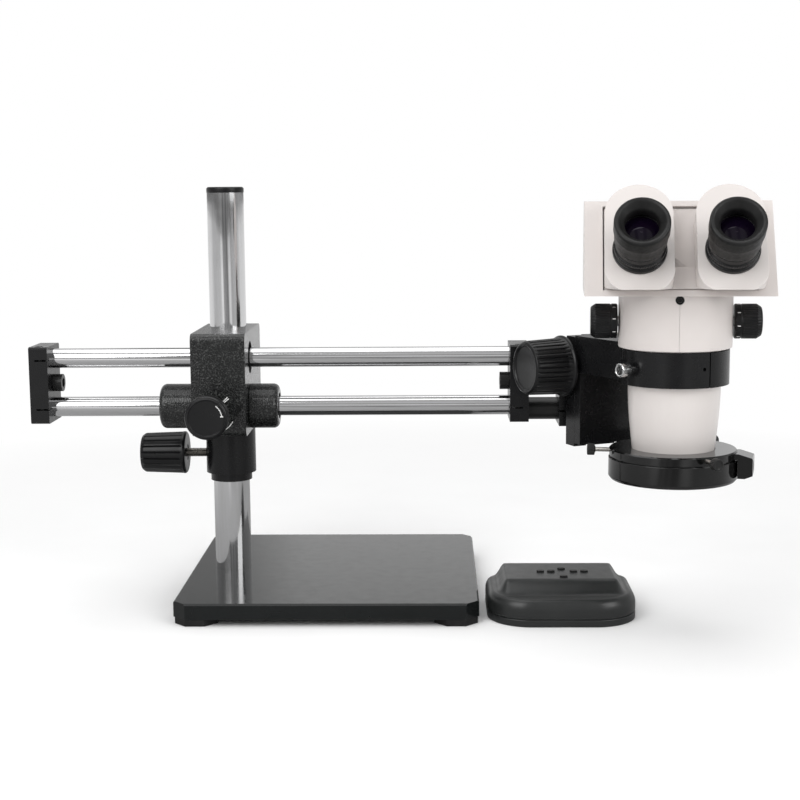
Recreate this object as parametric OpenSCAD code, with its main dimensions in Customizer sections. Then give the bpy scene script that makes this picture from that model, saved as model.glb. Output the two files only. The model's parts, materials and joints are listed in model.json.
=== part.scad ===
// Stereo microscope on a double-arm ball-bearing boom stand, with an LED ring light
// and its desk controller.
// Frame: +Z up, origin on the bench under the middle of the front left foot, +X along the
// boom to the microscope, -Y towards the person at the eyepieces. Millimetres.

/* [Base] */
// Width of the base plate, along the boom
plate_w = 254; // [240:2:300]
// Depth of the base plate
plate_d = 250; // [220:5:300]
// Thickness of the base plate
plate_t = 13.5; // [12:0.5:16]
// Distance from the plate's left edge to the column's axis
column_inset = 35.5; // [34:0.5:45]
// Length of the flat across each corner of the plate, along one side
corner_cut = 11; // [4:1:14]
// Height of the feet
foot_h = 6; // [5:0.5:7]
// Side of a foot
foot_w = 36; // [30:1:40]
// Height of the column's top above the bench
column_top = 359.5; // [350:0.5:420]
// Diameter of the column
column_d = 32; // [31:0.5:33]

/* [Collar and bearing block] */
// Outside diameter of the height collar
collar_d = 44; // [43:0.5:46]
// Width of the bearing block, along the boom
block_w = 46; // [45:0.5:50]
// Distance from the column's axis to the block's front face
block_front = 70; // [68:0.5:74]
// Distance from the column's axis to the block's back face
block_back = 40; // [34:1:46]
// Outside diameter of the bearing barrels
barrel_d = 38.6; // [37:0.2:40]
// Diameter of the tension knob
tension_d = 36; // [32:0.5:40]
// Diameter of the collar's lock knob at its inner end
lock_d = 38; // [34:0.5:42]

/* [Boom] */
// Outside diameter of a boom tube
tube_d = 17; // [16.5:0.1:17]
// Inside diameter of a boom tube
tube_bore = 13; // [12.5:0.1:13]
// Left end of the boom
boom_left = -164; // [-180:1:-150]
// Right end of the boom
boom_right = 262.5; // [262:0.5:263]
// Thickness of an end block, along the boom
end_t = 16; // [15:0.5:17]
// Diameter of the stub pin that carries the microscope
pin_d = 19.2; // [19:0.1:19.4]

/* [Focus mount] */
// Turn of the focus mount about the vertical
focus_yaw = 25; // [24.5:0.5:27]
// Distance from the pinion to the microscope's axis
reach = 93; // [92.5:0.5:96]
// Height of the pinion above the bench
pinion_z = 208.8; // [208:0.2:209]
// Teeth on the pinion
pinion_teeth = 15; // [15:1:15]
// Module of the rack and pinion
gear_module = 0.8; // [0.8:0.1:0.8]
// Diameter of a focus knob at its outer end
knob_d = 45; // [42:0.5:45]
// Outside diameter of the holder ring
ring_od = 85.5; // [85:0.5:87]
// Bore of the holder ring, the usual size for a microscope pod
ring_bore = 76; // [76:1:76]

/* [Microscope] */
// Diameter of the upper body
upper_d = 89; // [88:0.5:90]
// Turn of the microscope in its ring
head_yaw = 5; // [0:0.5:15]
// Backward tilt of the eyepiece face
face_tilt = 33; // [30:1:35]
// Width of the head
head_w = 144; // [142:1:148]
// Distance between the eyepieces
eye_spacing = 68.5; // [68:0.5:71]
// Diameter of an eyecup
eyecup_d = 41.5; // [41:0.5:44]
// Diameter of a zoom knob
zoom_knob_d = 27.5; // [25:0.5:28]

/* [Ring light] */
// Outside diameter of the ring light
light_od = 102; // [98:1:104]
// Number of LEDs
led_count = 24; // [12:2:32]

/* [Controller] */
// Width of the controller
ctrl_w = 124.2; // [120:0.1:140]
// Depth of the controller
ctrl_d = 91.5; // [86:0.5:100]
// Travel of a button
button_travel = 1; // [0.5:0.1:1.2]

/* [Hidden] */
$fn = 64;
run = 0.05;              // radial clearance of a running fit
fit = 0.02;              // radial clearance of a push fit
gap = 0.3;               // gap between neighbours that only face each other
plate_top = foot_h + plate_t;
plate_left = -column_inset;
// place of the column's axis, with the front left foot's middle at the origin
foot_inset = 1;
column_x = -plate_left - foot_inset - foot_w / 2;
column_y = plate_d / 2 - foot_inset - foot_w / 2;
plate_bevel = 1.5;
cap_h = 5;
shaft_top = column_top - cap_h;
seat_deep = 4;           // depth of the column's seat in the plate
foot_screw_d = 4.5;
base_bolt_d = 10;
collar_z = 107.5;
collar_top = 149.2;
collar_step_d = 36.5;
collar_step_z = 100.5;
lock_z = 124.4;
lock_rod_d = 8;
lock_in = -39.2;
lock_out = -79.4;
block_z = 149.5;
block_top = 236.8;
block_r = 6;
tube_y = -34;
tube_z = [213.5, 171.2];
bearing_od = 28;
bearing_len = 14;
barrel_out = [-54.5, 48];
barrel_bore = 28;
spigot_d = 32;
spigot_len = 11;
boss_d = 39;
boss_len = 8;
// the tension screw's axis, beside the lower tube's middle
tension_x = -3.5;
tension_z = tube_z[1] + 1.5;
tension_face = -118;
tension_shank_d = 8;
tension_neck_d = 18;
pad_d = 15;
end_y = [-55, -13];
end_z = [159, 225];
stop_z = 192.2;
stop_d = 15;
stop_len = 8;
pin_z = 168;
pin_end = 303;
knuckle_x = [288.4, 304];
knuckle_y = [-53, -15];
knuckle_z = [155, 183];
swivel_x = 312;
swivel_y = -40;
swivel_r = 12;
swivel_bolt_d = 8;
ear_t = 6;
slide_x = 333.1;
slide_y = -49;
scope_x = slide_x + reach * sin(focus_yaw);
scope_y = slide_y - reach * cos(focus_yaw);
mount_half = 43.8;       // half the width of the focus housing and of its carriage
housing_front = 13;
housing_back = -1;
housing_z = [142, 234];
boss_back = -13;
boss_half_h = 15;
plate_back = housing_front + 0.1;
plate_front = 22;
carriage_z = [144.7, 235.3];
arm_z = [205, 235.3];
arm_end = [39, 17.2];     // where the arm's sides run into the ring, from the ring's centre
pinion_r = gear_module * pinion_teeth / 2;
pinion_shaft_d = 8;
rack_w = 8;
rail_x = [24, 32];        // mouth of a dovetail rail, from the slide's middle
rail_deep = 6;
rail_flare = 2.5;
rack_z = [180, 235];
knob_len = 37;
knob_flange_d = 51;
knob_gap = 3.4;
ring_z = [202.9, 230.1];
pod_lock_angle = 212;    // direction of the pod lock screw from the ring's centre
pod_lock_d = 5;
ring_slit_angle = -60;
ring_screw_angle = -67;
body_bottom = 139;
body_neck = [148, 203];  // heights between which the lower body tapers
body_neck_r = [32.3, 36.4];
body_wall = 3;
upper_z = [231.5, 274.3];
cover_t = 2.5;
zoom_z = 251.5;
zoom_shaft_d = 8;
zoom_knob_x = [upper_d / 2 + 0.8, upper_d / 2 + 22];
head_z = 274.4;
face_front = 50;         // distance from the microscope's axis to the foot of the face
face_l = 84.5;
head_shift = 0;
head_wall = 3;
face_bar = 14;           // width of the side bars round the face
face_foot = 5.3;         // height of the bar under the eyetubes
face_top_bar = 4.5;
panel_gap = 0.9;
ledge_w = 58;
eye_shift = 3;
tube_front = 22;         // how far an eyetube stands out of the face
tube_half_w = 25.8;
tube_foot_r = 19;         // radius of an eyetube's lower corners
pivot_a = 59.8;          // height of an eyetube's pivot up the face
eye_a = 26.8;            // height of an eyepiece up the face
pivot_r = 15;
prism_z = [3, 12];
eye_bore_d = 30;
light_z = [125.5, 150.5];
light_groove_z = [143, 144.5];
light_inner_r = 33.2;
light_screw_z = 147.5;
light_screw_angles = [176, 56, -64];
light_socket_angle = -10;
ctrl_gap = 7.2;          // between the base plate and the controller
ctrl_x = plate_left + plate_w + ctrl_gap + ctrl_w / 2;
ctrl_y = -127.5 + ctrl_d / 2;
ctrl_seam = 6.5;
ctrl_shoulder = 23;
ctrl_top = 32.5;
ctrl_wall = 2;
ctrl_front_r = 36;
ctrl_back_r = 14;
pad_y = 14;              // the raised pad's centre, behind the controller's centre
pad_size = [98, 60];
button_w = 6.5;
button_d = 4.6;
// Places of the buttons on the pad, from its centre
BUTTONS = [[-16, -3.8], [-7, -3.8], [2.4, 4.5], [2.4, -21], [12.2, -3.8], [21.2, -3.8]];

// ---------- shared shapes ----------

// Cylinder along X from x0 to x1
module rod_x(d, x0, x1) {
    translate([x0, 0, 0]) rotate([0, 90, 0]) cylinder(d = d, h = x1 - x0);
}

// Cylinder along Y from y0 to y1
module rod_y(d, y0, y1) {
    translate([0, y0, 0]) rotate([-90, 0, 0]) cylinder(d = d, h = y1 - y0);
}

// Cylinder along Z from z0 to z1
module rod_z(d, z0, z1) {
    translate([0, 0, z0]) cylinder(d = d, h = z1 - z0);
}

// Box between two corners
module box(x, y, z) {
    translate([x[0], y[0], z[0]]) cube([x[1] - x[0], y[1] - y[0], z[1] - z[0]]);
}

// Flat rectangle w by d about the origin, with corners of radius r
module round_rect(w, d, r) {
    square([w - 2 * r, d], center = true);
    square([w, d - 2 * r], center = true);
    for (i = [-1, 1], j = [-1, 1]) translate([i * (w / 2 - r), j * (d / 2 - r)]) circle(r);
}

// Flat rectangle w by d about the origin, with its own corner radii at the front and back
module two_radius_rect(w, d, front, back) {
    translate([-w / 2, -d / 2 + front]) square([w, d - front - back]);
    translate([-w / 2 + front, -d / 2]) square([w - 2 * front, front + 1]);
    translate([-w / 2 + back, d / 2 - back - 1]) square([w - 2 * back, back + 1]);
    for (i = [-1, 1]) {
        translate([i * (w / 2 - front), -d / 2 + front]) circle(front);
        translate([i * (w / 2 - back), d / 2 - back]) circle(back);
    }
}

// Flat rectangle w by d about the origin, with its corners cut off by c
module cut_rect(w, d, c) {
    polygon([
        [-w / 2 + c, -d / 2], [w / 2 - c, -d / 2], [w / 2, -d / 2 + c], [w / 2, d / 2 - c],
        [w / 2 - c, d / 2], [-w / 2 + c, d / 2], [-w / 2, d / 2 - c], [-w / 2, -d / 2 + c]
    ]);
}

// Grooves of diameter d round a knob of radius r, count of them, from z0 to z1
module grooves(count, r, d, z0, z1) {
    for (i = [0:count - 1]) rotate([0, 0, 360 * i / count]) translate([r, 0, z0])
        cylinder(d = d, h = z1 - z0, $fn = 16);
}

// Hexagonal socket, af across its flats, from z0 to z1
module hex_socket(af, z0, z1) {
    translate([0, 0, z0]) cylinder(d = af / cos(30), h = z1 - z0, $fn = 6);
}

// Socket-head screw with its head's top at the origin, pointing down -Z
module cap_screw(head_d, head_h, shank_d, length) {
    difference() {
        union() {
            rod_z(head_d, -head_h, 0);
            rod_z(shank_d, -length, -head_h);
        }
        hex_socket(head_d / 2, -head_h * 0.6, 1);
    }
}

// The stand's frame: origin on the bench under the column's axis
module at_column() {
    translate([column_x, column_y, 0]) children();
}

// The focus mount's frame: +X along the pinion, -Y towards the microscope
module at_focus() {
    at_column() translate([slide_x, slide_y, 0]) rotate([0, 0, focus_yaw]) children();
}

// The microscope's frame: +Z up its axis, -Y to its front
module at_scope() {
    at_column() translate([scope_x, scope_y, 0]) rotate([0, 0, -head_yaw]) children();
}

// The eyepiece face's frame: +Y up the face, +Z out of it
module at_face() {
    at_scope() translate([0, -face_front, head_z]) rotate([90 - face_tilt, 0, 0]) children();
}

// One side of the face: the eyepiece's column, at x from the middle
module at_side(side) {
    at_face() translate([eye_shift + side * eye_spacing / 2, 0, 0]) children();
}

// ---------- base ----------

// Places of the four feet
module each_foot() {
    for (i = [0, 1], j = [-1, 1])
        translate([
            plate_left + foot_inset + foot_w / 2 + i * (plate_w - foot_w - 2 * foot_inset),
            j * (plate_d / 2 - foot_inset - foot_w / 2),
            0
        ]) children();
}

// Slab with bevelled edges along Y, seen from the side
module bevel_profile(w) {
    polygon([
        [-w / 2, 0], [w / 2, 0], [w / 2, plate_t - plate_bevel],
        [w / 2 - plate_bevel, plate_t], [-w / 2 + plate_bevel, plate_t],
        [-w / 2, plate_t - plate_bevel]
    ]);
}

module base_plate() {
    color([0.13, 0.14, 0.15]) at_column() difference() {
        translate([plate_left + plate_w / 2, 0, foot_h]) intersection() {
            linear_extrude(plate_t) cut_rect(plate_w, plate_d, corner_cut);
            translate([0, plate_d / 2, 0]) rotate([90, 0, 0]) linear_extrude(plate_d)
                bevel_profile(plate_w);
            translate([-plate_w / 2, 0, 0]) rotate([90, 0, 90]) linear_extrude(plate_w)
                bevel_profile(plate_d);
        }
        rod_z(column_d + 2 * run, plate_top - seat_deep, plate_top + 1);
        rod_z(base_bolt_d + 1, foot_h - 1, plate_top);
        rod_z(20, foot_h - 1, foot_h + 3);
        each_foot() rod_z(foot_screw_d + 0.2, foot_h - 1, foot_h + 9);
    }
}

module base_feet() {
    color([0.06, 0.06, 0.06]) at_column() each_foot() difference() {
        linear_extrude(foot_h) cut_rect(foot_w, foot_w, corner_cut - foot_inset);
        rod_z(foot_screw_d + 0.2, foot_h - 2, foot_h + 1);
        rod_z(9.2, foot_h - 4.2, foot_h - 1.5);
    }
}

module base_screws() {
    color([0.75, 0.75, 0.76]) at_column() {
        // the head of each foot's screw is moulded into the foot
        each_foot() translate([0, 0, foot_h - 4.1]) rotate([180, 0, 0])
            cap_screw(9, 2.5, foot_screw_d, 11.5);
        translate([0, 0, foot_h + 0.2]) rotate([180, 0, 0])
            cap_screw(18, 2.7, base_bolt_d, 34);
    }
}

module column() {
    color([0.86, 0.87, 0.88]) at_column() difference() {
        rod_z(column_d, plate_top - seat_deep, shaft_top);
        rod_z(base_bolt_d + 2 * fit, 0, plate_top + 24);
        rod_z(18.1, shaft_top - 12, shaft_top + 1);
    }
}

module column_cap() {
    color([0.03, 0.03, 0.03]) at_column() {
        difference() {
            rod_z(column_d + 0.6, shaft_top, column_top);
            rotate_extrude() polygon([
                [column_d / 2 - 1, column_top], [column_d / 2 + 1, column_top - 2],
                [column_d / 2 + 1, column_top + 1], [column_d / 2 - 1, column_top + 1]
            ]);
        }
        rod_z(18, shaft_top - 11, shaft_top);
    }
}

// ---------- height collar ----------

module height_collar() {
    color([0.05, 0.05, 0.05]) at_column() difference() {
        union() {
            rod_z(collar_d, collar_z, collar_top);
            rod_z(collar_step_d, collar_step_z, collar_z);
        }
        rod_z(column_d + 2 * run, collar_step_z - 1, collar_top + 1);
        translate([0, 0, lock_z]) rod_x(lock_rod_d + 2 * run, -collar_d, 0);
    }
}

module lock_knob() {
    knob_l = lock_in - lock_out;
    color([0.07, 0.07, 0.07]) at_column() translate([lock_in, 0, lock_z]) rotate([0, -90, 0]) difference() {
        union() {
            cylinder(d1 = lock_d, d2 = lock_d - 3, h = knob_l - 3);
            translate([0, 0, knob_l - 3]) cylinder(d1 = lock_d - 3, d2 = lock_d - 8, h = 3);
        }
        grooves(20, lock_d / 2 - 0.4, 3.2, 4, knob_l - 4);
        translate([0, 0, -1]) cylinder(d = lock_rod_d + 2 * fit, h = 24);
    }
}

module lock_screw() {
    color([0.6, 0.58, 0.55]) at_column() translate([0, 0, lock_z])
        rod_x(lock_rod_d, lock_in - 22, -column_d / 2 - 0.6);
}

// ---------- bearing block ----------

// At the axis of each boom tube
module each_tube() {
    for (z = tube_z) translate([0, tube_y, z]) children();
}

module bearing_block() {
    length = block_front + block_back;
    height = block_top - block_z;
    color([0.08, 0.08, 0.08]) at_column() difference() {
        union() {
            translate([-block_w / 2, (block_back - block_front) / 2, (block_z + block_top) / 2])
                rotate([90, 0, 90]) linear_extrude(block_w) round_rect(length, height, block_r);
            translate([tension_x, 0, tension_z])
                rod_y(boss_d, -block_front - boss_len, -block_front + 5);
        }
        rod_z(column_d + 2 * run, block_z - 1, block_top + 1);
        translate([0, tube_y, tube_z[0]]) rod_x(bearing_od + 2 * fit, -block_w, block_w);
        translate([0, tube_y, tube_z[1]]) rod_x(spigot_d + 2 * fit, -block_w, block_w);
        translate([tension_x, 0, tension_z]) {
            rod_y(tension_shank_d + 2 * run, -block_front - boss_len - 1, tube_y);
            rod_y(pad_d + 2 * fit, -62, tube_y);
        }
    }
}

// One barrel, outwards along +Z from the block's side face
module barrel(len) {
    r = barrel_d / 2;
    round = 5;
    difference() {
        rotate_extrude() difference() {
            union() {
                square([r, len - round]);
                square([r - round, len]);
                translate([r - round, len - round]) circle(round);
                translate([0, -spigot_len]) square([spigot_d / 2, spigot_len + 1]);
            }
            translate([-r, -spigot_len - 1]) square([r, len + spigot_len + 2]);
        }
        rod_z(barrel_bore + 2 * fit, -spigot_len - 1, len - 4);
        rod_z(tube_d + 5, 0, len + 1);
    }
}

module bearing_barrels() {
    color([0.06, 0.06, 0.06]) at_column() translate([0, tube_y, tube_z[1]]) {
        translate([block_w / 2, 0, 0]) rotate([0, 90, 0]) barrel(barrel_out[1] - block_w / 2);
        translate([-block_w / 2, 0, 0]) rotate([0, -90, 0]) barrel(-barrel_out[0] - block_w / 2);
    }
}

module linear_bearings() {
    upper = block_w / 2 - bearing_len - 2.5;
    starts = [
        [tube_z[0], upper], [tube_z[0], -upper - bearing_len],
        [tube_z[1], barrel_out[1] - 4.5 - bearing_len], [tube_z[1], barrel_out[0] + 4.5]
    ];
    color([0.62, 0.63, 0.65]) at_column() for (s = starts)
        translate([0, tube_y, s[0]]) difference() {
        rod_x(bearing_od, s[1], s[1] + bearing_len);
        rod_x(tube_d + 2 * run, s[1] - 1, s[1] + bearing_len + 1);
    }
}

module brake_pad() {
    color([0.85, 0.83, 0.78]) at_column() difference() {
        translate([tension_x, 0, tension_z]) rod_y(pad_d, -58, tube_y - tube_d / 2 + 3);
        translate([0, tube_y, tube_z[1]]) rod_x(tube_d + 2 * run, -block_w, block_w);
    }
}

module tension_knob() {
    back = -block_front - boss_len - 1;
    knob_l = back - tension_face;
    color([0.05, 0.05, 0.05]) at_column() translate([tension_x, 0, tension_z]) {
        translate([0, back, 0]) rotate([90, 0, 0]) difference() {
            // a slim neck keeps the head clear of the boss
            union() {
                cylinder(d = tension_neck_d, h = knob_l - 5);
                translate([0, 0, knob_l - 16]) cylinder(d1 = tension_neck_d, d2 = tension_d, h = 4);
                translate([0, 0, knob_l - 12]) cylinder(d = tension_d, h = 10);
                translate([0, 0, knob_l - 2]) cylinder(d1 = tension_d, d2 = tension_d - 3, h = 2);
            }
            grooves(30, tension_d / 2 + 0.2, 1.8, knob_l - 11, knob_l - 4);
        }
        rod_y(tension_shank_d, back - 1, -58.4);
    }
}

// ---------- boom ----------

module boom_tubes() {
    color([0.86, 0.87, 0.88]) at_column() each_tube() difference() {
        rod_x(tube_d, boom_left + end_t - 10.5, boom_right - end_t + 10.5);
        rod_x(tube_bore, boom_left, boom_right);
    }
}

// One end block, its inner face at x = 0 and its body along -X
module end_block() {
    difference() {
        translate([-end_t, 0, 0]) difference() {
            box([0, end_t], end_y, end_z);
            for (i = [0, 1], j = [0, 1]) translate([0, end_y[i], end_z[j]]) rotate([45, 0, 0])
                cube([3 * end_t, 2, 2], center = true);
        }
        each_tube() rod_x(tube_d + 2 * fit, -11, 1);
        each_tube() box([-11, 1], [end_y[0] - tube_y - 1, 0], [-0.8, 0.8]);
        for (i = [0, 1]) translate([-end_t / 2, end_y[0] + 6, end_z[1 - i]])
            rotate([180 * i, 0, 0]) {
                rod_z(4.1, -17, 1);
                rod_z(7.2, -4.2, 1);
            }
        translate([0, tube_y, stop_z]) rod_x(8.1, -end_t + 2, 1);
    }
}

module end_blocks() {
    color([0.04, 0.04, 0.04]) at_column() {
        translate([boom_left + end_t, 0, 0]) end_block();
        difference() {
            translate([boom_right - end_t, 0, 0]) mirror([1, 0, 0]) end_block();
            translate([0, tube_y, pin_z]) rod_x(10 + 2 * fit, boom_right - 5.2, boom_right + 1);
        }
    }
}

// The stop screw and clamp screws of one end block, with its inner face at x = 0
module end_block_screws() {
    translate([stop_len, tube_y, stop_z]) rotate([0, 90, 0])
        cap_screw(stop_d, stop_len - fit, 8, stop_len + 12);
    for (i = [0, 1]) translate([-end_t / 2, end_y[0] + 6, end_z[1 - i]])
        rotate([180 * i, 0, 0]) translate([0, 0, -0.3]) cap_screw(7, 3.8, 4, 15);
}

module boom_screws() {
    color([0.1, 0.1, 0.1]) at_column() {
        translate([boom_left + end_t, 0, 0]) end_block_screws();
        translate([boom_right - end_t, 0, 0]) mirror([1, 0, 0]) end_block_screws();
    }
}

module stub_pin() {
    color([0.16, 0.16, 0.16]) at_column() translate([0, tube_y, pin_z]) {
        rod_x(pin_d, boom_right, pin_end);
        rod_x(10, boom_right - 5, boom_right + 1);
    }
}

// ---------- knuckle ----------

module knuckle() {
    color([0.05, 0.05, 0.05]) at_column() difference() {
        union() {
            box(knuckle_x, knuckle_y, knuckle_z);
            translate([swivel_x, swivel_y, 0]) rod_z(2 * swivel_r, knuckle_z[0], knuckle_z[1]);
            box([knuckle_x[1] - 1, swivel_x], [swivel_y - swivel_r, swivel_y + swivel_r],
                knuckle_z);
        }
        translate([0, tube_y, pin_z]) rod_x(pin_d + 2 * run, boom_right, pin_end + 0.4);
        box([boom_right, pin_end + 0.4], [knuckle_y[0] - 1, tube_y], [pin_z - 0.8, pin_z + 0.8]);
        translate([swivel_x, swivel_y, 0])
            rod_z(swivel_bolt_d + 2 * fit, knuckle_z[0] - 1, knuckle_z[1] + 1);
        translate([296, knuckle_y[0] + 4.6, 0]) {
            rod_z(4.1, knuckle_z[0] + 3, knuckle_z[1] + 1);
            rod_z(7.2, knuckle_z[1] - 4.2, knuckle_z[1] + 1);
        }
    }
}

module knuckle_screws() {
    color([0.12, 0.12, 0.12]) at_column() {
        translate([296, knuckle_y[0] + 4.6, knuckle_z[1] - 0.3]) cap_screw(7, 3.8, 4, 22);
        // the bolt that the focus mount swivels on
        translate([swivel_x, swivel_y, 0])
            rod_z(swivel_bolt_d, knuckle_z[0] - gap - ear_t, knuckle_z[1] + gap + ear_t + 1);
    }
}

// ---------- focus mount ----------

// Half the angle that a tooth takes up at radius r, for an involute of the pinion
function inv(a) = tan(a) - a * PI / 180;
function flank(r) = 90 / pinion_teeth - backlash_deg / 2 + (inv(20) - inv(acos(base_r / r))) * 180 / PI;
base_r = pinion_r * cos(20);
backlash_deg = 2.2;
tooth_radii = [
    for (i = [0:4]) base_r + 0.02 + i * (pinion_r + 0.72 * gear_module - base_r - 0.02) / 4
];
root_r = pinion_r - 1.05 * gear_module;

// Outline of the pinion, with a space between two teeth centred on angle 0
module pinion_outline() {
    polygon([
        for (t = [0:pinion_teeth - 1]) let (c = 360 * (t + 0.5) / pinion_teeth) each concat(
            [[root_r * cos(c - flank(base_r + 0.02)), root_r * sin(c - flank(base_r + 0.02))]],
            [for (r = tooth_radii) [r * cos(c - flank(r)), r * sin(c - flank(r))]],
            [
                for (i = [4:-1:0]) let (r = tooth_radii[i])
                    [r * cos(c + flank(r)), r * sin(c + flank(r))]
            ],
            [[root_r * cos(c + flank(base_r + 0.02)), root_r * sin(c + flank(base_r + 0.02))]]
        )
    ]);
}

// Outline of the two dovetail rails, larger by grow all round
module rail_outline(grow) {
    for (s = [-1, 1]) polygon([
        [s * (rail_x[0] - grow), -plate_back - grow], [s * (rail_x[1] + grow), -plate_back - grow],
        [s * (rail_x[1] + rail_flare + grow), -plate_back + rail_deep + grow],
        [s * (rail_x[0] - rail_flare - grow), -plate_back + rail_deep + grow]
    ]);
}

module focus_housing() {
    color([0.04, 0.04, 0.04]) difference() {
        union() {
            at_focus() {
                box([-mount_half, mount_half], [-housing_front, -housing_back], housing_z);
                box([-mount_half + 6, mount_half - 6], [-1, -boss_back],
                    [pinion_z - boss_half_h, pinion_z + boss_half_h]);
            }
            // ears round the knuckle
            for (z = [knuckle_z[0] - gap - ear_t, knuckle_z[1] + gap]) hull() {
                at_column() translate([swivel_x, swivel_y, z])
                    cylinder(r = swivel_r, h = ear_t, $fn = 32);
                at_focus() translate([-34, -2.5, z]) cube([32, 2, ear_t]);
            }
        }
        at_focus() {
            translate([0, 0, pinion_z]) rod_x(pinion_shaft_d + 2 * run, -60, 60);
            translate([0, 0, pinion_z]) rod_x(2 * pinion_r + 3, -rack_w / 2 - 1, rack_w / 2 + 1);
            box([-rack_w / 2 - 0.6, rack_w / 2 + 0.6], [-housing_front - 1, -4], [100, 300]);
            linear_extrude(300) rail_outline(0.08);
        }
        at_column() translate([swivel_x, swivel_y, 0])
            rod_z(swivel_bolt_d + 2 * run, knuckle_z[0] - 20, knuckle_z[1] + gap + ear_t + 1);
    }
}

// One focus knob, its inner end at z = 0 and its outer end along +Z
module focus_knob() {
    difference() {
        union() {
            cylinder(d = knob_flange_d, h = 3);
            translate([0, 0, 3]) cylinder(d1 = knob_flange_d - 3, d2 = knob_d, h = knob_len - 6);
            translate([0, 0, knob_len - 3]) cylinder(d1 = knob_d, d2 = knob_d - 5, h = 3);
        }
        grooves(28, knob_flange_d / 2 - 0.6, 2.6, 5, knob_len - 5);
        translate([0, 0, knob_len - 1.6]) cylinder(d = knob_d - 9, h = 3);
        translate([0, 0, -1]) cylinder(d = pinion_shaft_d + 2 * fit, h = knob_len - 5);
    }
}

module focus_knobs() {
    color([0.05, 0.05, 0.05]) at_focus() translate([0, 0, pinion_z]) {
        translate([mount_half + knob_gap, 0, 0]) rotate([0, 90, 0]) focus_knob();
        translate([-mount_half - knob_gap, 0, 0]) rotate([0, -90, 0]) focus_knob();
    }
}

module pinion_shaft() {
    half = mount_half + knob_gap + knob_len - 8;
    color([0.7, 0.7, 0.72]) at_focus() translate([0, 0, pinion_z]) {
        rod_x(pinion_shaft_d, -half, half);
        // a tooth space faces the rack
        translate([-rack_w / 2, 0, 0]) rotate([0, 90, 0]) rotate([0, 0, -90])
            linear_extrude(rack_w) pinion_outline();
    }
}

module focus_carriage() {
    color([0.05, 0.05, 0.05]) at_focus() difference() {
        union() {
            box([-mount_half, mount_half], [-plate_front, -plate_back], carriage_z);
            translate([0, 0, carriage_z[0]]) linear_extrude(carriage_z[1] - carriage_z[0])
                rail_outline(0);
            // arm that narrows to the ring
            translate([0, 0, arm_z[0]]) linear_extrude(arm_z[1] - arm_z[0]) polygon([
                [-mount_half, -plate_front + 1], [mount_half, -plate_front + 1],
                [mount_half, -plate_front - 8], [arm_end[0], -reach + arm_end[1]],
                [-arm_end[0], -reach + arm_end[1]], [-mount_half, -plate_front - 8]
            ]);
        }
        translate([0, -reach, 0]) {
            rod_z(ring_od + 2 * fit, arm_z[0] - 1, arm_z[1] + 1);
            rod_z(upper_d + 1.2, ring_z[1] + 0.8, arm_z[1] + 1);
        }
        translate([-mount_half + 14, 0, 220]) rod_y(5, -plate_front - 40, -plate_back - 4);
    }
}

module focus_rack() {
    pitch = PI * gear_module;
    pitch_y = -pinion_r;
    tip = 0.72 * gear_module;
    root = 1.0 * gear_module;
    half_tip = pitch / 4 - tip * tan(20) - 0.08;
    half_root = pitch / 4 + root * tan(20) - 0.08;
    count = floor((rack_z[1] - pinion_z) / pitch) - 1;
    below = floor((pinion_z - rack_z[0]) / pitch) - 1;
    color([0.78, 0.62, 0.28]) at_focus() {
        box([-rack_w / 2, rack_w / 2], [-plate_back, pitch_y - root], rack_z);
        translate([-rack_w / 2, 0, pinion_z]) rotate([90, 0, 90]) linear_extrude(rack_w)
            for (i = [-below:count]) polygon([
                [pitch_y - root - 0.1, i * pitch - half_root],
                [pitch_y + tip, i * pitch - half_tip],
                [pitch_y + tip, i * pitch + half_tip],
                [pitch_y - root - 0.1, i * pitch + half_root]
            ]);
    }
}

module holder_ring() {
    color([0.08, 0.08, 0.08]) at_focus() translate([0, -reach, 0]) difference() {
        rod_z(ring_od, ring_z[0], ring_z[1]);
        rod_z(ring_bore + 2 * fit, ring_z[0] - 1, ring_z[1] + 1);
        rotate([0, 0, ring_slit_angle - focus_yaw])
            box([30, 60], [-0.6, 0.6], [ring_z[0] - 1, ring_z[1] + 1]);
        rotate([0, 0, ring_screw_angle - focus_yaw]) translate([0, 0, 217.5]) rod_x(3, 40, 60);
        rotate([0, 0, pod_lock_angle - focus_yaw]) translate([0, 0, 216])
            rod_x(pod_lock_d + 2 * run, 30, 60);
    }
}

module pod_lock_screw() {
    color([0.85, 0.85, 0.86]) at_focus() translate([0, -reach, 216])
        rotate([0, 0, pod_lock_angle - focus_yaw]) {
            rod_x(pod_lock_d, ring_bore / 2 + 0.6, 47);
            difference() {
                rod_x(11, 47, 56);
                for (i = [0:11]) rotate([30 * i, 0, 0]) translate([0, 5.9, 0])
                    rod_x(1.4, 48, 57);
            }
        }
}

// ---------- microscope body ----------

// Radius of the lower body at height z
function neck_r(z) = body_neck_r[0] + (body_neck_r[1] - body_neck_r[0])
    * sin(90 * (z - body_neck[0]) / (body_neck[1] - body_neck[0]));

module lower_body() {
    steps = 8;
    taper = [
        for (i = [0:steps]) let (z = body_neck[0] + i * (body_neck[1] - body_neck[0]) / steps)
            [neck_r(z), z]
    ];
    color([0.9, 0.88, 0.86]) at_scope() difference() {
        rotate_extrude() polygon(concat(
            [[0, body_bottom], [body_neck_r[0] - 1.8, body_bottom]],
            taper,
            [
                [ring_bore / 2 - run, body_neck[1] + 1], [ring_bore / 2 - run, 230.4],
                [upper_d / 2 - 3, 230.4], [upper_d / 2 - 3, 232], [0, 232]
            ]
        ));
        rotate_extrude() polygon(concat(
            [[0, body_bottom + 8], [body_neck_r[0] - body_wall, body_bottom + 8]],
            [for (p = taper) [p[0] - body_wall, p[1] + 0.1]],
            [[ring_bore / 2 - body_wall, body_neck[1] + 2], [ring_bore / 2 - body_wall, 233], [0, 233]]
        ));
        rod_z(50 + 2 * fit, body_bottom - 1, body_bottom + 9);
    }
}

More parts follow.
